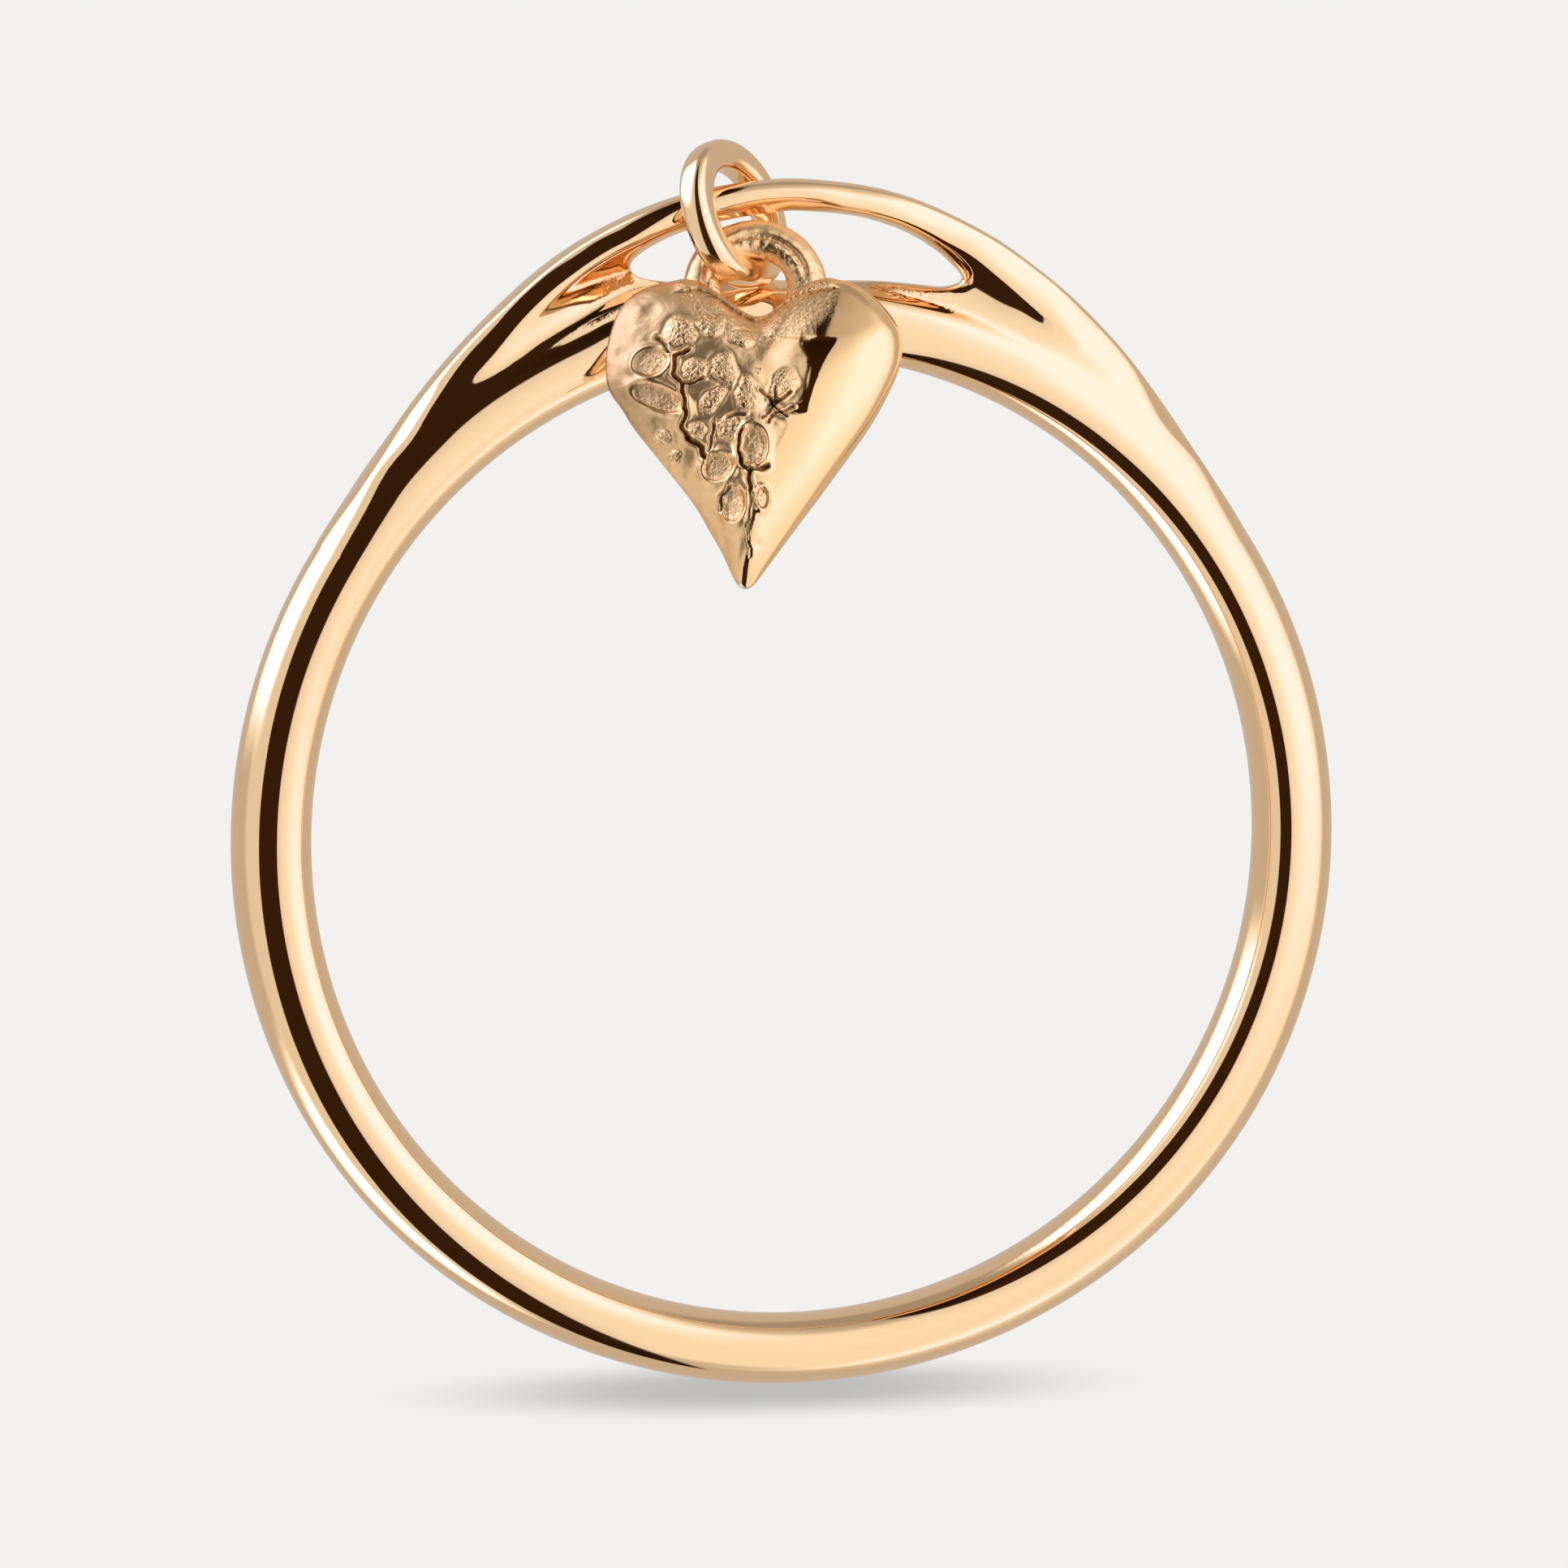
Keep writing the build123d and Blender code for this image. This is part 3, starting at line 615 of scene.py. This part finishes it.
# 0 at the middle of an oval spot, 1 on its edge
def ovalShare(x, y, spot):
    turn = math.radians(spot[4])
    dx, dy = x - spot[0], y - spot[1]
    along = dx * math.cos(turn) + dy * math.sin(turn)
    across = dy * math.cos(turn) - dx * math.sin(turn)
    return np.hypot(along / spot[2], across / spot[3])


# A closed smooth curve through points (Catmull-Rom), then count points evenly along it, blurred a little
def closedCurve(points, count):
    steps, blur, reach = 24, 3.0, 8  # steps from point to point; width and reach of the blur
    knots = np.array(points)
    p0, p1, p2, p3 = (np.roll(knots, shift, 0)[:, None, :] for shift in (1, 0, -1, -2))
    t = np.linspace(0, 1, steps, endpoint=False)[None, :, None]
    fine = 0.5 * (2 * p1 + (p2 - p0) * t + (2 * p0 - 5 * p1 + 4 * p2 - p3) * t ** 2
                  + (3 * p1 - p0 - 3 * p2 + p3) * t ** 3)
    fine = fine.reshape(-1, 2)
    closed = np.concatenate([fine, fine[:1]])
    along = np.concatenate([[0], np.cumsum(np.hypot(*np.diff(closed, axis=0).T))])
    even = np.linspace(0, along[-1], count, endpoint=False)
    return np.stack([blurClosed(np.interp(even, along, closed[:, c]), blur, reach) for c in (0, 1)], -1)


# Height added to the heart's front, and its skin, grain and painted shade from 0 to 1. With q the share of a
# spot's radius, a pebble is h (1 - q^3), its outline waved by angle, with a moat round it; a crater is a rim
# h exp(-((q - place) / width)^2) round a sunk floor; a dent is -d (1 - q^2)^2; a crack is
# -d exp(-(distance / width)^2) between lips. Pores and the waves of the cast skin are sums of sines. The
# painted shade darkens the cracks, the pores' lows and the left lobe.
def heartRelief(shape, x, y):
    ys, xs, widths = (np.array([row[c] for row in shape["ridge"]]) for c in range(3))
    cast = smoothStep(*shape["castEdge"], x - np.interp(y, ys, xs) + np.interp(y, ys, widths))
    skin = cast * (shape["skin"] + (1 - shape["skin"]) * smoothStep(*shape["dullerFrom"], x))
    grain = shape["castGrain"] * cast
    waves = np.sin(5.1 * x + 1.3 * y + 0.4) * np.sin(4.3 * y - 2.2 * x)
    waves = waves + 0.6 * np.sin(9.7 * x + 3.1) * np.sin(8.9 * y + 1.7)
    height = shape["castWaves"] * cast * waves
    for k, spot in enumerate(shape["pebbles"]):
        way = np.arctan2(y - spot[1], x - spot[0])
        q = ovalShare(x, y, spot) * (1 + 0.09 * np.sin(3 * way + 2.4 * k) + 0.05 * np.sin(5 * way + 1.7 * k))
        place, width, depth = shape["moat"]
        height += shape["pebbleHeight"] * np.clip(1 - q ** 3, 0, 1) - depth * bell(q - place, width)
        grain = np.maximum(grain, smoothStep(*shape["pebbleGrain"], q))
        skin = skin - (skin - shape["pebbleSkin"]) * smoothStep(*shape["pebbleEdge"], q)
    for spot in shape["craters"]:
        q = ovalShare(x, y, spot)
        place, width, rise = shape["rim"]
        floorOut, floorIn, depth = shape["floor"]
        height += rise * bell(q - place, width) - depth * smoothStep(floorOut, floorIn, q)
        grainOut, grainIn, strength = shape["floorGrain"]
        grain = np.maximum(grain, strength * smoothStep(grainOut, grainIn, q))
        place, width, share = shape["rimPolish"]
        skin = skin - share * skin * bell(q - place, width)
    for spot in shape["dents"]:
        q = np.hypot(x - spot[0], y - spot[1]) / spot[2]
        height -= shape["dentDepth"] * np.clip(1 - q * q, 0, 1) ** 2
    # painted shade over the left lobe, growing towards the left
    shadeAmount = shape["leftShade"] * cast * smoothStep(*shape["leftShadeFrom"], x)
    porous = bell(ovalShare(x, y, shape["porousPatch"]), shape["poreSpread"])
    pores = np.sin(19 * x + 7 * y + 2.5 * np.sin(11 * y + 3 * x))
    pores = pores + np.sin(23 * y - 9 * x + 2.2 * np.sin(13 * x + 1.3))
    height += porous * (shape["poreDepth"] * pores - shape["poreSink"])
    # painted shade in the lows of the pores
    shadeAmount = np.maximum(shadeAmount, porous * smoothStep(*shape["poreShade"], pores))
    grain = np.maximum(grain, porous)
    lipPlace, lipHeight = shape["crackLip"]
    waverX, waverY = shape["crackWaver"] * np.sin(23 * y), shape["crackWaver"] * np.sin(19 * x)
    for width, depth, points in shape["cracks"]:
        gap = lineDistance(x + waverX, y + waverY, points)
        height += lipHeight * bell(gap - lipPlace * width, width) - depth * bell(gap, width)
        # painted shade along each crack, a little wider than the crack
        shadeAmount = np.maximum(shadeAmount, bell(gap, shape["paintedShade"] * width))
    return height, np.clip(skin, 0, 1), np.clip(grain, 0, 1), np.clip(shadeAmount, 0, 1)


# Height of the heart's front over its back: thickness (edge + (1 - edge) (1 - s^p)^r) at a share s of the
# outline, less the step beside the polished right side, which runs out to the left, less (1 - s^8) tan(lean)
# times the way beyond the shoulder line of the right lobe
def heartLevel(shape, x, y, s):
    right = smoothStep(*shape["lobesFrom"], x)
    edge, power, roundness = (shape[key][0] + (shape[key][1] - shape[key][0]) * right
                              for key in ("edge", "domePower", "domeRoundness"))
    dome = (1 - s ** power) ** roundness
    ys, xs, widths, drops = (np.array([row[c] for row in shape["ridge"]]) for c in range(4))
    into = (np.interp(y, ys, xs) - x) / np.interp(y, ys, widths)
    step = np.interp(y, ys, drops) * np.clip(into, 0, 1) * smoothStep(*shape["ridgeFade"], x)
    shoulderX, shoulderY, slope, lean = shape["shoulder"]
    above = (y - shoulderY - slope * (x - shoulderX)) / math.hypot(1, slope)
    above = (above + np.sqrt(above ** 2 + shape["shoulderRounding"] ** 2)) / 2
    back = above * smoothStep(*shape["shoulderFrom"], x) * math.tan(math.radians(lean))
    level = shape["thickness"] * (edge + (1 - edge) * dome)
    return level - step * smoothStep(*shape["ridgeEnd"], s) - back * (1 - s ** 8)


# Rings of points: middle + scale rim, with the rim counted from the middle, at their levels
def scaledRings(middle, rim, scale, level):
    flat = middle + scale[..., None] * rim
    return np.concatenate([flat, np.broadcast_to(level, flat.shape[:2])[..., None]], -1)


# Rings that are shares s of the outline about the heart's middle, then the wall as an arc, then the flat back
def heartBody(shape):
    count, bottom = shape["around"], -shape["loopHalf"]
    middle = np.array(shape["middle"])
    rim = closedCurve(shape["outline"], count) - middle
    s = (np.linspace(0, 1, shape["frontRings"] + 1)[1:] ** shape["ringSpacing"])[:, None]
    x = middle[0] + s * rim[:, 0]
    y = middle[1] + s * rim[:, 1]
    relief, skin, grain, shadeAmount = heartRelief(shape, x, y)
    level = heartLevel(shape, x, y, s) + relief * (1 - s ** 24)  # no relief on the very edge
    # a fillet of cast metal round the foot of the loop
    foot = np.abs(np.hypot(x, y + shape["loopDrop"]) - shape["loopRadius"]) - shape["loopWall"]
    foot = np.clip(foot, 0, None)
    fillet, filletGrain, filletSkin = (
        shape[key][0] * bell(foot, shape[key][1]) for key in ("filletHeight", "filletGrain", "filletSkin"))
    level = level + fillet * (level < shape["filletBelow"])
    grain = np.maximum(grain, filletGrain)
    skin = np.maximum(skin, filletSkin)
    frontPoints = scaledRings(middle, rim, s, level + bottom)
    turn = np.linspace(0, np.pi / 2, shape["wallRings"] + 1)[1:, None]
    wallScale = 1 - shape["wallLean"] * (1 - np.cos(turn))
    wall = scaledRings(middle, rim, wallScale, level[-1] * (1 - np.sin(turn)) + bottom)
    backScale = np.linspace(1 - shape["wallLean"], 0, shape["backRings"] + 1)[1:-1, None]
    base = scaledRings(middle, rim, backScale, bottom)
    rings = np.concatenate([frontPoints, wall, base])
    poles = np.array([[*middle, frontPoints[0, :, 2].mean()], [*middle, bottom]])
    points = np.concatenate([rings.reshape(-1, 3), poles])
    rest = np.ones((len(wall) + len(base)) * count)
    looks = {
        key: np.concatenate([front.ravel(), back * rest, [front[0].mean(), back]]) for key, front, back in (
            ("castSkin", skin, shape["backSkin"]), ("castGrain", grain, shape["backGrain"]),
            ("paintedShade", shadeAmount, 0))}
    total, j = len(rings), np.arange(count)
    last = (total - 1) * count
    frontFan = np.stack([np.full(count, total * count), (j + 1) % count, j], -1)
    backFan = np.stack([np.full(count, total * count + 1), last + j, last + (j + 1) % count], -1)
    faces = [gridFaces(total, count, closeColumns=True, flip=True), frontFan, backFan]
    return points, faces, looks


# A torus (radius + w) (cos t, sin t) with w = wall cos v across and half sin v along, whose front is hollowed
# over its upper part to a groove between a broad, slanting outer face and a lumpy inner bead
def heartLoop(shape, start):
    t = np.linspace(0, 2 * np.pi, shape["loopAround"], endpoint=False)[:, None]
    v = np.linspace(0, 2 * np.pi, shape["loopAcross"], endpoint=False)[None, :]
    wide = shape["loopWall"] * np.cos(v)
    over = np.clip(np.sin(v), 0, 1) ** 0.5  # 1 on the front, 0 at the sides and back
    upperLow, upperHigh, upperTurn = shape["loopUpper"]
    upper = smoothStep(upperLow, upperHigh, np.sin(t - upperTurn))
    slantFrom, slantTo, slantDepth = shape["loopSlant"]
    groove, bead = (
        upper * bell(wide - shape[key][0], shape[key][1]) * over for key in ("loopGroove", "loopBead"))
    lumps = np.sin(7 * t + 1.0) * np.sin(3 * v + 2 * t)
    lumps = lumps + 0.7 * np.sin(17 * t + 2 * v) * np.sin(9 * t - 3 * v + 1.0)
    level = shape["loopHalf"] * np.sin(v) - shape["loopGroove"][2] * groove + shape["loopBead"][2] * bead
    level = level + shape["loopLumps"] * lumps * over * (0.4 + bead)
    level = level - slantDepth * upper * over * smoothStep(slantFrom, slantTo, wide)
    reach = shape["loopRadius"] + wide + shape["loopSwell"] * lumps
    loop = np.stack([reach * np.cos(t), reach * np.sin(t) - shape["loopDrop"], level], -1)
    dull, beadShine = shape["loopSkin"]
    everywhere, inGroove, onBead, lowDown = shape["loopGrain"]
    skin = dull - beadShine * bead
    grain = np.clip(everywhere + inGroove * groove + onBead * bead + lowDown * (1 - upper), 0, 1)
    # painted shade along the groove, uneven along the loop
    shadeAmount = shape["loopShade"] * groove * (0.5 + 0.5 * np.sin(23 * t + 3 * np.sin(5 * t)))
    faces = gridFaces(*reach.shape, start=start, closeRows=True, closeColumns=True)
    looks = {"castSkin": skin.ravel(), "castGrain": grain.ravel(), "paintedShade": shadeAmount.ravel()}
    return loop.reshape(-1, 3), faces, looks


# Body and loop turned from the heart's plane to their place: origin + x across + y upward + z facing
def makeHeart(shape, material):
    points, faces, looks = heartBody(shape)
    loop, loopFaces, loopLooks = heartLoop(shape, len(points))
    facing = np.array(shape["facing"])
    facing /= np.linalg.norm(facing)
    across = np.cross([0, 1, 0], facing)
    across /= np.linalg.norm(across)
    upward = np.cross(facing, across)
    placed = np.array(shape["origin"]) + np.concatenate([points, loop]) @ np.stack([across, upward, facing])
    addPiece("heartCharm", placed, [*faces, loopFaces], "heart_charm", material,
             attributes={key: np.concatenate([looks[key], loopLooks[key]]) for key in looks})


makeBand(bandShape, makePolishedGold("polishedBandGold", polishedGold))
wireGold = dict(polishedGold, roughness=jumpShape["roughness"])
makeJumpRing(jumpShape, makePolishedGold("polishedWireGold", wireGold))
makeHeart(heartShape, makeCastGold("castHeartGold", castGold))

# The studio: a pale floor under the ring and a tent of soft white light with a dark slot beside the lens.
# Directions are in degrees as the lens sees them: across to the right of it, up above it.
studio = {
    "toCamera": (-0.198, 0.084, 0.977), "frameWidth": 28.2, "aimUp": 0.905, "lens": 450, "sensor": 36,
    "clip": (0.01, 20),  # metres
    "floorColour": "#f2f1ef", "floorLevel": -0.853, "floorRadius": 600, "floorCorners": 96,
    # the soft shadow under the ring: an oval, how dark, and where its edge starts and ends in shares of it
    "shadow": {"centre": (-0.2, -10.12), "half": (4.9, 0.42), "depth": 0.42, "edge": (0.15, 1.7)},
    "tent": 0.60,
    # the dark slot beside the lens: its right edge, how its left edge leans and how soft both are, as
    # shares of a direction of length 1
    "slotColour": (0.046, 0.019, 0.007), "slotRight": 0.02, "slotLean": 0.26, "slotSoft": 0.012,
    # colours of faint, white and strong light, and the strengths between which one turns into the next
    "dimLight": (1.0, 0.92, 0.86), "whiteLight": (1.0, 0.99, 0.97), "brightLight": (1.0, 1.0, 1.32),
    "whiteFrom": (0.5, 1.0), "brightFrom": (1.02, 1.35),
    # across, half width, up, half height, softness, added light
    "panels": [
        (8, 95, -12, 64, 6, 0.22), (55, 48, 0, 80, 10, 0.18), (64, 31, 24, 38, 18, 0.33),
        (100, 25, -58, 18, 25, 0.35), (-98, 25, 38, 25, 9, 1.8), (-107, 20, -50, 17, 9, 1.5),
        (0, 200, 86, 24, 6, -0.20),
    ],
}
toCamera = Vector(studio["toCamera"]).normalized()
rightWay = Vector((0, 1, 0)).cross(toCamera).normalized()
upWay = toCamera.cross(rightWay)


# A long lens along toCamera, far enough back for frameWidth to fill the frame
def makeCamera(settings):
    data = bpy.data.cameras.new("camera")
    data.lens = settings["lens"]
    data.sensor_width = settings["sensor"]
    data.clip_start, data.clip_end = settings["clip"]
    camera = bpy.data.objects.new("camera", data)
    away = settings["frameWidth"] * settings["lens"] / settings["sensor"] * mm
    turn = Matrix((rightWay, upWay, toCamera)).transposed().to_4x4()
    camera.matrix_world = Matrix.Translation(upWay * settings["aimUp"] * mm + toCamera * away) @ turn
    bpy.context.scene.collection.objects.link(camera)
    bpy.context.scene.camera = camera


# A pale disc that glows a little, so that it stays even, dimmed by an oval soft shadow under the ring's
# lower edge
def makeFloor(settings):
    t = np.linspace(0, 2 * np.pi, settings["floorCorners"], endpoint=False)
    ring = np.stack([np.cos(t), np.sin(t), np.zeros_like(t)], -1) * settings["floorRadius"]
    mesh = bpy.data.meshes.new("studioFloor")
    mesh.from_pydata(((ring + [0, 0, settings["floorLevel"]]) * mm).tolist(), [], [list(range(len(t)))])
    material = bpy.data.materials.new("paleStudioPaper")
    material.use_nodes = True
    tree = material.node_tree
    tree.nodes.clear()
    place = addNode(tree, "TexCoord")
    shadow = settings["shadow"]
    moved = addNode(tree, "Mapping", {
        "Vector": place.outputs["Object"],
        "Location": (shadow["centre"][0] * mm, shadow["centre"][1] * mm, settings["floorLevel"] * mm),
        "Scale": (shadow["half"][0] * mm, shadow["half"][1] * mm, 1.0)}, vector_type="TEXTURE")
    length = addNode(tree, "VectorMath", {0: moved.outputs["Vector"]}, operation="LENGTH").outputs["Value"]
    shade = addRange(tree, length, *shadow["edge"], 1 - shadow["depth"], 1.0, "SMOOTHERSTEP")
    glow = addNode(tree, "Emission", {"Color": hexToLinear(settings["floorColour"]), "Strength": shade})
    addNode(tree, "OutputMaterial", {"Surface": glow.outputs[0]})
    mesh.materials.append(material)
    floor = bpy.data.objects.new("studioFloor", mesh)
    bpy.context.scene.collection.objects.link(floor)
    floor.visible_glossy = False


# Light by direction: the tent plus its panels, each a box in the angles across and up with soft sides, in
# the colour for its strength. The slot is dark where right < slotRight and
# right + ahead > slotLean min(up, 0), with right, up and ahead the direction in the lens's own axes.
def makeWorld(settings):
    world = bpy.data.worlds.new("softStudio")
    bpy.context.scene.world = world
    world.use_nodes = True
    tree = world.node_tree
    tree.nodes.clear()
    place = addNode(tree, "TexCoord")
    right, up, ahead = (
        addNode(tree, "VectorMath", {
            0: place.outputs["Generated"], 1: tuple(way)}, operation="DOT_PRODUCT").outputs["Value"]
        for way in (rightWay, upWay, toCamera))
    turn, tilt = addMath(tree, "ARCTAN2", right, ahead), addMath(tree, "ARCSINE", up)
    across, above = (addMath(tree, "MULTIPLY", angle, math.degrees(1)) for angle in (turn, tilt))
    light = settings["tent"]
    for middle, half, height, tall, soft, strength in settings["panels"]:
        for angle, centre, reach in ((across, middle, half), (above, height, tall)):
            off = addMath(tree, "ABSOLUTE", addMath(tree, "SUBTRACT", angle, centre))
            side = addRange(tree, off, reach - soft, reach + soft, 1.0, 0.0, "SMOOTHSTEP")
            strength = addMath(tree, "MULTIPLY", side, strength)
        light = addMath(tree, "ADD", strength, light)
    soft, edge = settings["slotSoft"], settings["slotRight"]
    below = addMath(tree, "MINIMUM", up, 0.0)
    widening = addMath(tree, "MULTIPLY_ADD", below, -settings["slotLean"], ahead)
    leftEdge = addRange(tree, addMath(tree, "ADD", right, widening), -soft, soft, ease="SMOOTHSTEP")
    rightEdge = addRange(tree, right, edge - soft, edge + soft, 1.0, 0.0, "SMOOTHSTEP")
    dark = addMath(tree, "MULTIPLY", leftEdge, rightEdge)
    white = addRange(tree, light, *settings["whiteFrom"], ease="SMOOTHSTEP")
    glare = addRange(tree, light, *settings["brightFrom"])
    colour = (*settings["dimLight"], 1.0)
    for share, key in ((white, "whiteLight"), (glare, "brightLight"), (dark, "slotColour")):
        colour = addMix(tree, share, colour, (*settings[key], 1.0))
    studioLight = addNode(tree, "Background", {"Color": colour, "Strength": light})
    backdrop = addNode(tree, "Background", {"Color": hexToLinear(settings["floorColour"]), "Strength": 1.0})
    path = addNode(tree, "LightPath")
    mixed = addNode(tree, "MixShader", {
        0: path.outputs["Is Camera Ray"], 1: studioLight.outputs[0], 2: backdrop.outputs[0]})
    addNode(tree, "OutputWorld", {"Surface": mixed.outputs[0]})


makeCamera(studio)
makeFloor(studio)
makeWorld(studio)
bpy.context.scene.view_settings.view_transform = "Standard"
bpy.context.scene.view_settings.look = "None"
print("studio is set")
